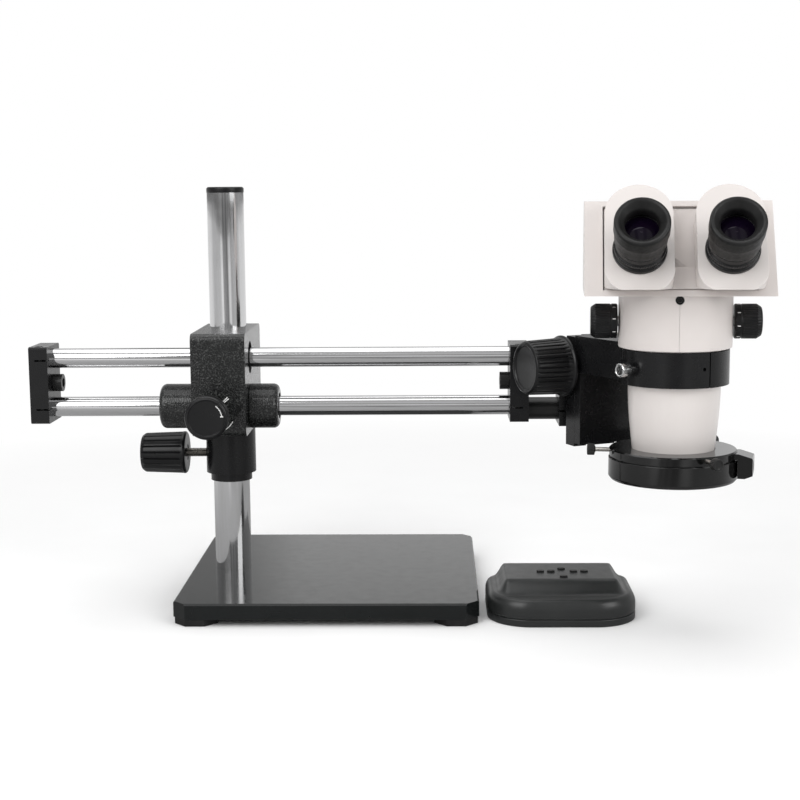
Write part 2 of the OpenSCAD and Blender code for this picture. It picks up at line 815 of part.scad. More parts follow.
module objective_barrel() {
    color([0.05, 0.05, 0.05]) at_scope() difference() {
        union() {
            rod_z(50, body_bottom - 0.5, body_bottom + 14);
            rod_z(58, body_bottom - 8, body_bottom - 0.5);
        }
        rod_z(48, body_bottom - 9, body_bottom + 2);
        rod_z(42, body_bottom - 9, body_bottom + 12);
        rod_z(38, body_bottom - 9, body_bottom + 15);
    }
}

module objective_lens() {
    color([0.6, 0.75, 0.8, 0.5]) at_scope() intersection() {
        rod_z(42 - 2 * fit, body_bottom + 2.2, body_bottom + 11.8);
        translate([0, 0, body_bottom + 2.2 + 70]) sphere(r = 70, $fn = 96);
    }
}

module cover_half(side) {
    color([0.9, 0.88, 0.86]) at_scope() difference() {
        rotate_extrude() polygon([
            [upper_d / 2 - cover_t, 232.2], [upper_d / 2 - cover_t + 0.5, upper_z[0]],
            [upper_d / 2 - 0.4, upper_z[0]], [upper_d / 2, upper_z[0] + 0.8],
            [upper_d / 2, upper_z[1]], [upper_d / 2 - cover_t, upper_z[1]]
        ]);
        translate([-side * 50 + side * 0.1, 0, 250]) cube([100, 120, 100], center = true);
        translate([0, 0, zoom_z]) rod_x(zoom_shaft_d + 2 * run, -60, 60);
        for (j = [-1, 1]) translate([0, 0, 271]) rod_y(7, j * 44 - 10, j * 44 + 10);
    }
}

module upper_cover_left() {
    cover_half(-1);
}

module upper_cover_right() {
    cover_half(1);
}

module cover_screws() {
    color([0.15, 0.15, 0.15]) at_scope() for (a = [0, 180]) rotate([0, 0, a])
        translate([0, -upper_d / 2 + 0.2, 271]) rotate([90, 0, 0]) cap_screw(6.6, 2.2, 3, 7.2);
}

module zoom_shaft() {
    color([0.68, 0.69, 0.7]) at_scope() translate([0, 0, zoom_z]) {
        rod_x(zoom_shaft_d, -zoom_knob_x[1] + 6, zoom_knob_x[1] - 6);
        // cam drums that drive the lens carriage
        for (s = [-1, 1]) difference() {
            rod_x(22, s * 18 - 4, s * 18 + 4);
            rotate([s * 60, 0, 0]) translate([s * 18, 7, 0]) rod_x(3, -5, 5);
        }
    }
}

// One zoom knob, its inner end at z = 0 and its outer end along +Z
module zoom_knob() {
    length = zoom_knob_x[1] - zoom_knob_x[0];
    difference() {
        union() {
            cylinder(d = zoom_knob_d, h = length - 4);
            translate([0, 0, length - 4]) cylinder(d1 = zoom_knob_d, d2 = zoom_knob_d - 5, h = 4);
        }
        grooves(36, zoom_knob_d / 2 + 0.15, 1.1, 6, length - 3);
        translate([0, 0, -1]) cylinder(d = zoom_shaft_d + 2 * fit, h = length - 4);
    }
}

module zoom_knobs() {
    color([0.07, 0.07, 0.07]) at_scope() translate([0, 0, zoom_z]) {
        translate([zoom_knob_x[0], 0, 0]) rotate([0, 90, 0]) zoom_knob();
        translate([-zoom_knob_x[0], 0, 0]) rotate([0, -90, 0]) zoom_knob();
    }
}

module lens_carriage() {
    color([0.2, 0.2, 0.2]) at_scope() difference() {
        union() {
            rod_z(60, 196, 202);
            for (s = [-1, 1]) translate([s * 14, 0, 0]) rod_z(24, 190, 214);
        }
        for (s = [-1, 1]) translate([s * 14, 0, 0]) rod_z(19, 180, 220);
    }
}

// ---------- head ----------

// Side view of the head in the microscope's frame: Y away from the person, Z up.
// in is how far the outline is set in.
module head_side(in) {
    run_back = face_l * sin(face_tilt);
    rise = face_l * cos(face_tilt);
    polygon([
        [-face_front + in * 1.6, head_z + in], [-face_front + run_back + in * 0.4, head_z + rise - in],
        [-face_front + run_back + 34 - in, head_z + rise - in],
        [-face_front + run_back + 46 - in, head_z + rise - 14 - in * 0.6],
        [48 - in, head_z + 12], [46 - in, head_z + in]
    ]);
}

module head_solid(in, w) {
    translate([head_shift - w / 2, 0, 0]) rotate([90, 0, 90]) linear_extrude(w) head_side(in);
}

module head_frame() {
    opening_w = head_w - 2 * face_bar;
    color([0.88, 0.86, 0.85]) {
        difference() {
            union() {
                at_scope() head_solid(0, head_w);
                at_scope() rod_z(upper_d - 2 * cover_t - 0.6, 264, head_z + 1);
            }
            at_scope() head_solid(head_wall, head_w - 2 * head_wall);
            at_scope() rod_z(upper_d - 2 * cover_t - 7, 260, head_z + 10);
            at_face() translate([head_shift - opening_w / 2, face_foot, -14])
                cube([opening_w, face_l - face_foot - face_top_bar, 30]);
            for (a = [0, 180]) at_scope() rotate([0, 0, a]) translate([0, -upper_d / 2, 271])
                rod_y(3 + 2 * fit, -5, 12);
        }
    }
}

module head_panel() {
    w = head_w - 2 * (face_bar + panel_gap);
    l = face_l - face_foot - face_top_bar - 2 * panel_gap;
    color([0.86, 0.84, 0.83]) difference() {
        union() {
            at_face() translate([head_shift - w / 2, face_foot + panel_gap, -6])
                cube([w, l, 4]);
            // ledge under the eyetubes
            at_face() translate([eye_shift - ledge_w / 2, face_foot + panel_gap + 0.4, -6])
                cube([ledge_w, 19, 6.3]);
        }
        for (s = [-1, 1]) at_side(s) translate([0, pivot_a, 0])
            rod_z(2 * pivot_r + 2 * run, -10, 5);
    }
}

module eyetube(side) {
    bottom = -8;
    r = tube_foot_r;
    color([0.9, 0.88, 0.87]) difference() {
        at_side(side) difference() {
            union() {
                translate([0, 0, 1]) linear_extrude(tube_front - 1) {
                    translate([0, pivot_a]) circle(tube_half_w);
                    translate([-tube_half_w, bottom + r])
                        square([2 * tube_half_w, pivot_a - bottom - r]);
                    translate([-tube_half_w + r, bottom]) square([2 * (tube_half_w - r), r + 2]);
                    for (i = [-1, 1]) translate([i * (tube_half_w - r), bottom + r]) circle(r);
                }
                translate([0, pivot_a, 0]) rod_z(2 * pivot_r, -9, 2);
            }
            translate([0, pivot_a, 0]) rod_z(19, -10, prism_z[1]);
            translate([0, eye_a, 0]) rod_z(eye_bore_d + 2 * run, prism_z[1] - 1, tube_front + 1);
            box([-11, 11], [eye_a - 12, pivot_a + 12], prism_z);
        }
        at_scope() box([-100, 100], [-120, 60], [200, head_z + 6.4]);
    }
}

module left_eyetube() {
    eyetube(-1);
}

module right_eyetube() {
    eyetube(1);
}

module prism(side) {
    color([0.6, 0.75, 0.8, 0.5]) at_side(side) translate([-10, 0, 0]) rotate([90, 0, 90])
        linear_extrude(20) polygon([
            [eye_a - 10, prism_z[0] + 0.6], [pivot_a + 2, prism_z[0] + 0.6],
            [pivot_a + 10, prism_z[1] - 1.4], [eye_a - 2, prism_z[1] - 1.4]
        ]);
}

module left_prism() {
    prism(-1);
}

module right_prism() {
    prism(1);
}

// The eyepiece's own frame: +Z out of the eyetube's face, along the line of sight
module at_eyepiece(side) {
    at_side(side) translate([0, eye_a, tube_front]) children();
}

module eyepiece(side) {
    color([0.06, 0.06, 0.06]) at_eyepiece(side) difference() {
        union() {
            rod_z(eye_bore_d, -8.5, 1);
            rod_z(eyecup_d - 0.5, 0.3, 4);
            translate([0, 0, 4]) cylinder(d1 = 39.5, d2 = 37.5, h = 6);
            rod_z(37, 10, 26);
        }
        rod_z(26, -10, 22.5);
        rod_z(28, 22, 27);
    }
}

module left_eyepiece() {
    eyepiece(-1);
}

module right_eyepiece() {
    eyepiece(1);
}

module eyecup(side) {
    color([0.03, 0.03, 0.03]) at_eyepiece(side) rotate_extrude() polygon([
        [18.5 + fit, 17], [19.6, 17], [20, 25], [eyecup_d / 2, 31], [eyecup_d / 2, 41],
        [eyecup_d / 2 - 1.5, 43], [eyecup_d / 2 - 3, 42.8], [13.4, 37.5], [12.2, 35.5],
        [12.6, 30], [14.6, 27.2], [16, 26.2], [18.5 + fit, 26.2]
    ]);
}

module left_eyecup() {
    eyecup(-1);
}

module right_eyecup() {
    eyecup(1);
}

module eye_lens(side) {
    color([0.35, 0.25, 0.5, 0.6]) at_eyepiece(side) intersection() {
        rod_z(28 - 2 * fit, 22.7, 30);
        translate([0, 0, 27.6 - 40]) sphere(r = 40, $fn = 96);
    }
}

module left_eye_lens() {
    eye_lens(-1);
}

module right_eye_lens() {
    eye_lens(1);
}

// ---------- ring light ----------

module ring_light_housing() {
    r = light_od / 2;
    color([0.04, 0.04, 0.04]) at_scope() difference() {
        union() {
            rotate_extrude() polygon([
                [light_inner_r, light_z[0] + 3], [light_inner_r + 2, light_z[0] + 3],
                [light_inner_r + 2, 146.5], [r - 3.5, 146.5], [r - 3.5, light_groove_z[0] - 6],
                [r - 2, light_groove_z[0] - 6], [r - 2, light_groove_z[1]],
                [r - 0.6, light_groove_z[1]], [r - 0.6, light_z[1] - 1],
                [r - 1.6, light_z[1]], [light_inner_r, light_z[1]]
            ]);
            // socket for the controller's cable
            rotate([0, 0, light_socket_angle]) translate([0, 12, 0]) rotate([90, 0, 0])
                linear_extrude(24) polygon([
                    [r - 2.2, 149], [r + 1, 149], [r + 11.5, 146], [r + 12, 145], [r + 12, 132],
                    [r + 6, 129.5], [r + 0.4, 129.5], [r + 0.4, 144.4], [r - 2.2, 144.4]
                ]);
        }
        rotate([0, 0, light_socket_angle]) translate([0, 0, 138.5]) rod_x(8, r + 3, r + 20);
        for (a = light_screw_angles) rotate([0, 0, a]) translate([0, 0, light_screw_z])
            rod_x(3.5 + 2 * run, 30, 60);
    }
}

module ring_light_bezel() {
    r = light_od / 2;
    color([0.05, 0.05, 0.05]) at_scope() rotate_extrude() polygon([
        [r - 2 + fit, light_z[0] + 4], [r - 6, light_z[0] + 2], [r - 6, light_z[0]],
        [r - 2, light_z[0]], [r, light_z[0] + 2.5], [r, light_groove_z[0]],
        [r - 2 + fit, light_groove_z[0]]
    ]);
}

module led_board() {
    r_in = light_inner_r + 2.2;
    r_out = light_od / 2 - 6.4;
    color([0.92, 0.93, 0.9]) at_scope() {
        difference() {
            rod_z(2 * r_out, 131, 133);
            rod_z(2 * r_in, 130, 134);
        }
        for (i = [0:led_count - 1]) rotate([0, 0, 360 * i / led_count])
            translate([(r_in + r_out) / 2, 0, 0]) rod_z(3.5, 128.6, 131.2);
    }
}

module ring_light_screws() {
    color([0.35, 0.35, 0.36]) at_scope() for (a = light_screw_angles) rotate([0, 0, a])
        translate([0, 0, light_screw_z]) {
            rod_x(3.5, light_inner_r + 0.2, 62);
            difference() {
                rod_x(9.5, 62, 68);
                for (i = [0:11]) rotate([30 * i, 0, 0]) translate([0, 5.1, 0]) rod_x(1.2, 61, 69);
            }
        }
}

// ---------- controller ----------

module at_controller() {
    at_column() translate([ctrl_x, ctrl_y, 0]) children();
}

// Outline of the controller, set in by inset all round
module controller_outline(inset) {
    two_radius_rect(ctrl_w - 2 * inset, ctrl_d - 2 * inset, ctrl_front_r - inset,
        ctrl_back_r - inset);
}

module controller_bottom() {
    color([0.2, 0.21, 0.21]) at_controller() difference() {
        linear_extrude(ctrl_seam - 0.3) controller_outline(0);
        translate([0, 0, ctrl_wall]) linear_extrude(20) controller_outline(ctrl_wall);
    }
}

module controller_top() {
    color([0.22, 0.23, 0.23]) at_controller() difference() {
        union() {
            translate([0, 0, ctrl_seam]) linear_extrude(ctrl_shoulder - 6 - ctrl_seam)
                controller_outline(0);
            translate([0, 0, ctrl_shoulder - 6]) linear_extrude(6) controller_outline(2.5);
            translate([0, pad_y, ctrl_shoulder]) linear_extrude(ctrl_top - ctrl_shoulder)
                round_rect(pad_size[0], pad_size[1], 12);
        }
        translate([0, 0, ctrl_seam - 1]) linear_extrude(ctrl_shoulder - ctrl_wall - ctrl_seam + 1)
            controller_outline(5);
        translate([0, pad_y, ctrl_seam]) linear_extrude(ctrl_top - ctrl_wall - ctrl_seam)
            round_rect(pad_size[0] - 6, pad_size[1] - 6, 10);
        for (b = BUTTONS) translate([b[0], pad_y + b[1], ctrl_top - 5]) linear_extrude(10)
            button_outline(0.2);
    }
}

// Oval of a button, larger by grow all round
module button_outline(grow) {
    r = button_d / 2 + grow;
    span = button_w - button_d;
    square([span, 2 * r], center = true);
    for (i = [-1, 1]) translate([i * span / 2, 0]) circle(r, $fn = 32);
}

module controller_board() {
    color([0.05, 0.3, 0.15]) at_controller() {
        translate([0, pad_y, 18]) linear_extrude(1.6)
            round_rect(pad_size[0] - 10, pad_size[1] - 10, 4);
        for (b = BUTTONS) translate([b[0], pad_y + b[1], 19.6]) rod_z(4, -0.1, 5.4);
    }
}

module button(i) {
    color([0.08, 0.08, 0.08]) at_controller()
        translate([BUTTONS[i][0], pad_y + BUTTONS[i][1], 0]) {
            translate([0, 0, 26.2]) linear_extrude(ctrl_top + 1.3 - 26.2) button_outline(0);
            translate([0, 0, 26.2]) linear_extrude(1.4) button_outline(0.9);
        }
}

base_plate();
base_feet();
base_screws();
column();
column_cap();
height_collar();
lock_knob();
lock_screw();
bearing_block();
bearing_barrels();
linear_bearings();
brake_pad();
tension_knob();
boom_tubes();
end_blocks();
boom_screws();
stub_pin();
knuckle();
knuckle_screws();
focus_housing();
focus_knobs();
pinion_shaft();
focus_carriage();
focus_rack();
holder_ring();
pod_lock_screw();
lower_body();
upper_cover_left();
upper_cover_right();
cover_screws();
objective_barrel();
objective_lens();
zoom_shaft();
zoom_knobs();
lens_carriage();
head_frame();
head_panel();
left_eyetube();
right_eyetube();
left_prism();
right_prism();
left_eyepiece();
right_eyepiece();
left_eyecup();
right_eyecup();
left_eye_lens();
right_eye_lens();
ring_light_housing();
ring_light_bezel();
led_board();
ring_light_screws();
controller_top();
controller_bottom();
controller_board();
button(0);  // button_far_left
button(1);  // button_left
button(2);  // button_back
button(3);  // button_front
button(4);  // button_right
button(5);  // button_far_right
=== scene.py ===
import json
import math

import bmesh
import bpy
from mathutils import Matrix, Vector


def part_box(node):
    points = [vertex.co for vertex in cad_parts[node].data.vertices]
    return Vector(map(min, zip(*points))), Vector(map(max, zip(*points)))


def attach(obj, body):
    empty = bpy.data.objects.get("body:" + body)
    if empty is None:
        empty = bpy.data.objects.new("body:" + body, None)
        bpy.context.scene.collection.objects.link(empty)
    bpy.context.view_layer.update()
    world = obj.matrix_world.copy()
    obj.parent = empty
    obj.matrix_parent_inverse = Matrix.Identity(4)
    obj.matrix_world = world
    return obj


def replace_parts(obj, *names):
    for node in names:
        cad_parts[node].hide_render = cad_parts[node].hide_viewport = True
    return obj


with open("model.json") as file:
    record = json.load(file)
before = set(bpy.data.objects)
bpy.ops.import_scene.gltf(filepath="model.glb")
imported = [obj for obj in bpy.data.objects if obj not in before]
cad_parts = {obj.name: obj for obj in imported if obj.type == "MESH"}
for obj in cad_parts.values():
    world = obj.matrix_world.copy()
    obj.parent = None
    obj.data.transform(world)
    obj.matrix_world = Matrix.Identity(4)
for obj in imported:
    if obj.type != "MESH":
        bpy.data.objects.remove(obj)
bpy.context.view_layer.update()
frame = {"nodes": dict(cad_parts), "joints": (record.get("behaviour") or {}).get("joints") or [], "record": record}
RECORD = frame["record"]
BODY_OF = {n: body for body, nodes in RECORD["behaviour"]["bodies"].items() for n in nodes}
SLOT_OF = {part["node"]: part["material_slot"] for part in RECORD["subparts"]}
HINGE = {j["name"]: j for j in frame["joints"] if "pos_m" in j}
MM = 0.001
TURN = 2 * math.pi
COLUMN = sum(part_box("column"), Vector()) / 2
COLUMN.z = 0
SCOPE = Vector(HINGE["microscope_turn"]["pos_m"])
HEADING = math.atan2(HINGE["zoom_turn"]["axis"][1], HINGE["zoom_turn"]["axis"][0])


# ---------- materials ----------

def rgb(r, g, b):
    """A colour in linear light."""
    return (r, g, b, 1.0)


class Nodes:
    """Short ways to add nodes to a tree, so that a material reads as a few lines."""

    def __init__(self, tree):
        self.tree = tree

    def add(self, kind, **inputs):
        """A new node. The inputs' names are written with _ for each space."""
        node = self.tree.nodes.new(kind)
        for key, value in inputs.items():
            self.feed(node.inputs[key.replace("_", " ")], value)
        return node

    def feed(self, socket, value):
        """Links another node's output to a socket, or sets the socket's value."""
        if isinstance(value, bpy.types.NodeSocket):
            self.tree.links.new(value, socket)
        else:
            socket.default_value = value

    def vector(self, operation, first, second=None):
        """A vector operation; its result is in the node's output Vector or Value."""
        node = self.add("ShaderNodeVectorMath")
        node.operation = operation
        self.feed(node.inputs[0], first)
        if second is not None:
            self.feed(node.inputs[1], second)
        return node

    def span(self, value, low, high, start=0.3, end=0.7):
        """Maps a value that runs from start to end onto low to high."""
        node = self.add("ShaderNodeMapRange", From_Min=start, From_Max=end, To_Min=low, To_Max=high)
        self.feed(node.inputs["Value"], value)
        return node.outputs["Result"]

    def mix(self, factor, first, second, blend="MIX"):
        """The first colour where factor is 0, the second, or its blend with the first, where it is 1."""
        node = self.add("ShaderNodeMix")
        node.data_type = "RGBA"
        node.blend_type = blend
        self.feed(node.inputs["Factor"], factor)
        self.feed(node.inputs[6], first)
        self.feed(node.inputs[7], second)
        return node.outputs[2]

    def bands(self, value, stops):
        """Grey levels along a value that runs from -1 to 1; stops are (place from 0 to 1, level)."""
        ramp = self.add("ShaderNodeValToRGB", Fac=self.span(value, 0, 1, -1, 1))
        elements = ramp.color_ramp.elements
        while len(elements) < len(stops):
            elements.new(0.5)
        for element, (at, grey) in zip(elements, stops):
            element.position = at
            element.color = rgb(grey, grey, grey)
        return ramp.outputs["Color"]


class Shader(Nodes):
    """The node tree of one material."""

    def __init__(self, name):
        self.material = bpy.data.materials.new(name)
        self.material.use_nodes = True
        super().__init__(self.material.node_tree)
        self.surface = self.tree.nodes["Principled BSDF"]
        self.place = self.add("ShaderNodeNewGeometry").outputs["Position"]

    def set(self, **inputs):
        """Feeds inputs of the surface."""
        for key, value in inputs.items():
            self.feed(self.surface.inputs[key.replace("_", " ")], value)

    def noise(self, size_mm, detail=3.0, place=None):
        """Noise between 0 and 1, with features of about size_mm."""
        node = self.add("ShaderNodeTexNoise", Scale=1 / (size_mm * MM), Detail=detail)
        self.feed(node.inputs["Vector"], place or self.place)
        return node.outputs["Fac"]

    def cells(self, size_mm):
        """Distance to the nearest of scattered points, for a hammered finish."""
        node = self.add("ShaderNodeTexVoronoi", Scale=1 / (size_mm * MM))
        node.feature = "SMOOTH_F1"
        self.feed(node.inputs["Vector"], self.place)
        return node.outputs["Distance"]

    def edges(self, width_mm):
        """About 1 along the object's edges and 0 on its faces."""
        bevel = self.add("ShaderNodeBevel", Radius=width_mm * MM)
        bevel.samples = 4
        normal = self.add("ShaderNodeNewGeometry").outputs["Normal"]
        agreement = self.vector("DOT_PRODUCT", bevel.outputs["Normal"], normal).outputs["Value"]
        return self.span(agreement, 1.0, 0.0, 0.82, 0.99)

    def bump(self, height, depth_mm):
        """Lets the surface look as deep as height, a value from 0 to 1, times depth_mm."""
        node = self.add("ShaderNodeBump", Strength=1.0, Distance=depth_mm * MM)
        self.feed(node.inputs["Height"], height)
        self.set(Normal=node.outputs["Normal"])


def painted(name, colour, lighter_tone, rough, grain_mm=0.5, grain_depth=0.01, edge_mm=0.5, coat=0.0,
            shine=0.3, drift=0.12):
    """Paint or moulded plastic: colour drift, uneven gloss, fine grain, and edges lightened partly by wear and
    partly by a painted highlight.
    """
    s = Shader(name)
    body = s.mix(s.span(s.noise(35), 0, drift), colour, lighter_tone)
    # along edges the lighter tone is partly wear and partly a painted highlight
    s.set(Base_Color=s.mix(s.edges(edge_mm), body, lighter_tone))
    s.set(Roughness=s.span(s.noise(9, 5), rough - 0.03, rough + 0.04), Coat_Weight=coat)
    s.set(Coat_Roughness=0.08, Specular_IOR_Level=shine)
    s.bump(s.noise(grain_mm, 4), grain_depth)
    return s.material


def hammertone():
    """Glossy black paint that dried in small dimples; a painted highlight lightens their rims."""
    s = Shader("hammertone")
    dark, light = rgb(0.004, 0.0045, 0.0045), rgb(0.055, 0.057, 0.055)
    bumps = s.cells(1.0)
    # painted highlight: the colour turns lighter towards each dimple's rim
    s.set(Base_Color=s.mix(s.span(bumps, 0, 0.9, 0.45, 0.75), dark, light))
    s.set(Roughness=s.span(s.noise(1.3), 0.14, 0.26), Coat_Weight=0.35, Coat_Roughness=0.08)
    s.set(Specular_IOR_Level=0.35)
    s.bump(bumps, 0.45)
    return s.material


def chrome(name, along):
    """Ground and plated bar, with faint lines along it. along is a vector of stretch factors."""
    tone, dull, rough = 0.68, 0.64, 0.09
    s = Shader(name)
    lines = s.noise(1.2, 4, s.vector("MULTIPLY", s.place, along).outputs["Vector"])
    haze = s.noise(28, 3)
    s.set(Base_Color=s.mix(s.span(lines, 0, 1), rgb(tone, tone, tone * 1.02), rgb(dull, dull, dull)))
    s.set(Metallic=1.0, Roughness=s.span(haze, rough - 0.03, rough + 0.05))
    s.bump(lines, 0.0001)
    return s.material


def steel(name, tone, rough, tint=(1, 1, 1)):
    """Machined metal with duller patches and a fine grain."""
    s = Shader(name)
    base = rgb(*(tone * t for t in tint))
    dull = rgb(*(tone * 0.62 * t for t in tint))
    s.set(Base_Color=s.mix(s.span(s.noise(3, 5), 0, 0.6), base, dull))
    s.set(Metallic=1.0, Roughness=s.span(s.noise(1.2, 4), rough - 0.06, rough + 0.1))
    s.bump(s.noise(0.25, 3), 0.004)
    return s.material


def rubber(name, colour, lighter_tone):
    """Matt rubber with a trace of dust."""
    s = Shader(name)
    dust = s.span(s.noise(7, 6), 0, 0.5, 0.4, 0.75)
    s.set(Base_Color=s.mix(dust, colour, lighter_tone))
    s.set(Roughness=s.span(s.noise(2, 4), 0.38, 0.55), Specular_IOR_Level=0.35)
    s.bump(s.noise(0.35, 5), 0.02)
    return s.material


def coated_glass():
    """Eye lens: nearly black glass under a violet coating whose reflection is painted into the colour, stronger
    towards the rim.
    """
    s = Shader("coated_glass")
    facing = s.add("ShaderNodeLayerWeight", Blend=0.35).outputs["Facing"]
    # painted reflection: the violet grows as the surface turns away from the view
    tint = s.mix(s.span(facing, 0, 1, 0.0, 0.7), rgb(0.003, 0.002, 0.004), rgb(0.016, 0.005, 0.026))
    s.set(Base_Color=s.mix(s.span(s.noise(6), 0, 0.5), tint, rgb(0.005, 0.003, 0.010)))
    s.set(Roughness=s.span(s.noise(5), 0.02, 0.05), Coat_Weight=0.3, Coat_Roughness=0.02)
    s.set(Coat_Tint=rgb(0.7, 0.45, 1.0), Specular_IOR_Level=0.12)
    return s.material


def clear_glass():
    """Prisms and lenses: clear glass with a faint green tint."""
    s = Shader("clear_glass")
    s.set(Base_Color=s.mix(s.span(s.noise(12), 0, 1), rgb(0.86, 0.93, 0.92), rgb(0.8, 0.88, 0.9)))
    s.set(Roughness=s.span(s.noise(4), 0.0, 0.04), Transmission_Weight=0.9, IOR=1.52)
    return s.material


def led_phosphor():
    """Yellow phosphor under a clear dome, unlit."""
    s = Shader("led_phosphor")
    glow = s.mix(s.span(s.noise(1.0), 0, 1), rgb(0.95, 0.85, 0.35), rgb(0.98, 0.93, 0.6))
    s.set(Base_Color=glow, Roughness=s.span(s.noise(1), 0.12, 0.25), Coat_Weight=0.8)
    return s.material


# BLACK_EDGE, CREAM_EDGE and every second colour given to painted() are a lighter tone for random drift and, along
# edges, partly wear and partly a painted highlight
BLACK, BLACK_EDGE = rgb(0.005, 0.005, 0.0055), rgb(0.022, 0.023, 0.024)
CREAM, CREAM_EDGE = rgb(0.70, 0.655, 0.632), rgb(0.76, 0.725, 0.70)
LOOKS = {
    "plate_paint": painted(
        "plate_paint", rgb(0.006, 0.007, 0.007), rgb(0.03, 0.033, 0.034), rough=0.12, grain_mm=1.6,
        grain_depth=0.005, edge_mm=0.6, drift=0.1),
    "rubber_black": rubber("rubber_black", rgb(0.006, 0.006, 0.006), rgb(0.018, 0.018, 0.017)),
    "zinc_steel": steel("zinc_steel", 0.42, 0.28, tint=(1.0, 0.96, 0.9)),
    "chrome_bar": chrome("chrome_bar", along=(0.03, 1, 1)),
    "black_plastic": painted("black_plastic", BLACK, BLACK_EDGE, rough=0.3, grain_mm=0.4, edge_mm=0.4),
    "black_anodised": painted(
        "black_anodised", BLACK, BLACK_EDGE, rough=0.27, grain_mm=0.3, grain_depth=0.006, edge_mm=0.4),
    "hammertone": hammertone(),
    "bearing_steel": steel("bearing_steel", 0.6, 0.22),
    "nylon": painted("nylon", rgb(0.75, 0.72, 0.65), rgb(0.84, 0.82, 0.78), rough=0.4),
    "black_steel": painted(
        "black_steel", rgb(0.01, 0.01, 0.01), rgb(0.06, 0.06, 0.06), rough=0.3, edge_mm=0.3),
    "brass": steel("brass", 0.72, 0.25, tint=(1.0, 0.76, 0.38)),
    "chrome_screw": steel("chrome_screw", 0.86, 0.12),
    "cream_paint": painted(
        "cream_paint", CREAM, CREAM_EDGE, rough=0.32, grain_mm=0.8, grain_depth=0.006, edge_mm=0.6,
        coat=0.2, shine=0.45, drift=0.3),
    "cream_plastic": painted(
        "cream_plastic", rgb(0.675, 0.628, 0.606), CREAM_EDGE, rough=0.38, grain_depth=0.012, edge_mm=0.6,
        coat=0.05, shine=0.4, drift=0.3),
    "glass_coated": coated_glass(),
    "glass_clear": clear_glass(),
    "gloss_black": painted(
        "gloss_black", rgb(0.003, 0.003, 0.003), rgb(0.02, 0.02, 0.02), rough=0.1, grain_mm=1.5,
        grain_depth=0.004, edge_mm=0.4, coat=0.2, shine=0.4),
    "circuit_board": painted(
        "circuit_board", rgb(0.02, 0.16, 0.07), rgb(0.04, 0.24, 0.12), rough=0.3, grain_mm=1.2,
        grain_depth=0.03),
    "led_white": painted("led_white", rgb(0.8, 0.81, 0.78), rgb(0.9, 0.9, 0.88), rough=0.4),
    "grey_plastic": painted(
        "grey_plastic", rgb(0.016, 0.017, 0.017), rgb(0.05, 0.053, 0.052), rough=0.32, grain_mm=0.45,
        grain_depth=0.02, edge_mm=0.8, shine=0.45),
    "key_rubber": rubber("key_rubber", rgb(0.005, 0.005, 0.005), rgb(0.012, 0.012, 0.012)),
}
COLUMN_CHROME = chrome("column_chrome", along=(1, 1, 0.03))
WHITE_INK = painted("white_ink", rgb(0.7, 0.7, 0.69), rgb(0.8, 0.8, 0.79), rough=0.5)
PHOSPHOR = led_phosphor()


# ---------- mesh helpers, all in millimetres ----------

SHARP_ANGLE = math.radians(38)      # new pieces: an edge that turns more stays sharp
HARD_EDGE_ANGLE = math.radians(35)  # CAD shapes: an edge that turns more is rounded
FLAT_ANGLE = math.radians(0.6)      # CAD shapes: triangles that differ less are one face
NEAR_AXIS = 0.5                     # points of an outline this close to its axis take no ribs


def new_mesh(name, points, faces, place=None):
    """A mesh from points in mm, moved by place, which is a matrix in metres."""
    mesh = bpy.data.meshes.new(name)
    mesh.from_pydata([Vector(p) * MM for p in points], [], faces)
    if place is not None:
        mesh.transform(place)
    bm = bmesh.new()
    bm.from_mesh(mesh)
    bmesh.ops.remove_doubles(bm, verts=bm.verts, dist=1e-6)
    bmesh.ops.recalc_face_normals(bm, faces=bm.faces)
    bm.to_mesh(mesh)
    bm.free()
    return mesh


def joined(name, meshes):
    """One mesh made of several."""
    bm = bmesh.new()
    for mesh in meshes:
        bm.from_mesh(mesh)
    mesh = bpy.data.meshes.new(name)
    bm.to_mesh(mesh)
    bm.free()
    return mesh


def put(name, mesh, like, material=None):
    """Adds a piece that rides on the body of the CAD node named like, in its slot's material or another."""
    obj = bpy.data.objects.new(name, mesh)
    bpy.context.scene.collection.objects.link(obj)
    mesh.materials.clear()
    mesh.materials.append(material or LOOKS[SLOT_OF[like]])
    if not mesh.has_custom_normals:
        mesh.shade_smooth()
        mesh.set_sharp_from_angle(angle=SHARP_ANGLE)
    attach(obj, BODY_OF[like])
    return obj


def put_instead(name, mesh, node, material=None):
    """Adds a piece that stands in for one CAD node."""
    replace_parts(put(name, mesh, node, material), node)


def clamp(t):
    """The value, held between 0 and 1."""
    return min(1.0, max(0.0, t))


def smooth(t):
    """A soft step from 0 to 1 as t goes from 0 to 1."""
    t = clamp(t)
    return t * t * (3 - 2 * t)


def rounded(profile, radius):
    """Rounds every corner of an open outline of (r, z) points, by less where its sides are short."""
    steps, most = 4, 0.45
    points = [Vector(p) for p in profile]
    out = [points[0]]
    for before, here, after in zip(points, points[1:], points[2:]):
        to_before, to_after = before - here, after - here
        reach = min(radius, to_before.length * most, to_after.length * most)
        start = here + to_before.normalized() * reach
        end = here + to_after.normalized() * reach
        for i in range(steps + 1):
            t = i / steps
            out.append(start * (1 - t) ** 2 + here * 2 * t * (1 - t) + end * t ** 2)
    out.append(points[-1])
    return out


def lathe(name, profile, place, round_by, segments=96, cut=None):
    """Turns an outline of (r, z) points about Z. cut(angle, z) is how much deeper the surface lies."""
    outline = rounded(profile, round_by)
    points, faces = [], []
    for i in range(segments):
        angle = TURN * i / segments
        for p in outline:
            r = p.x - (cut(angle, p.y) if cut and p.x > NEAR_AXIS else 0)
            points.append((r * math.cos(angle), r * math.sin(angle), p.y))
    rows = len(outline)
    for i in range(segments):
        here, there = i * rows, (i + 1) % segments * rows
        for k in range(rows - 1):
            faces.append((here + k, here + k + 1, there + k + 1, there + k))
    return new_mesh(name, points, faces, place)


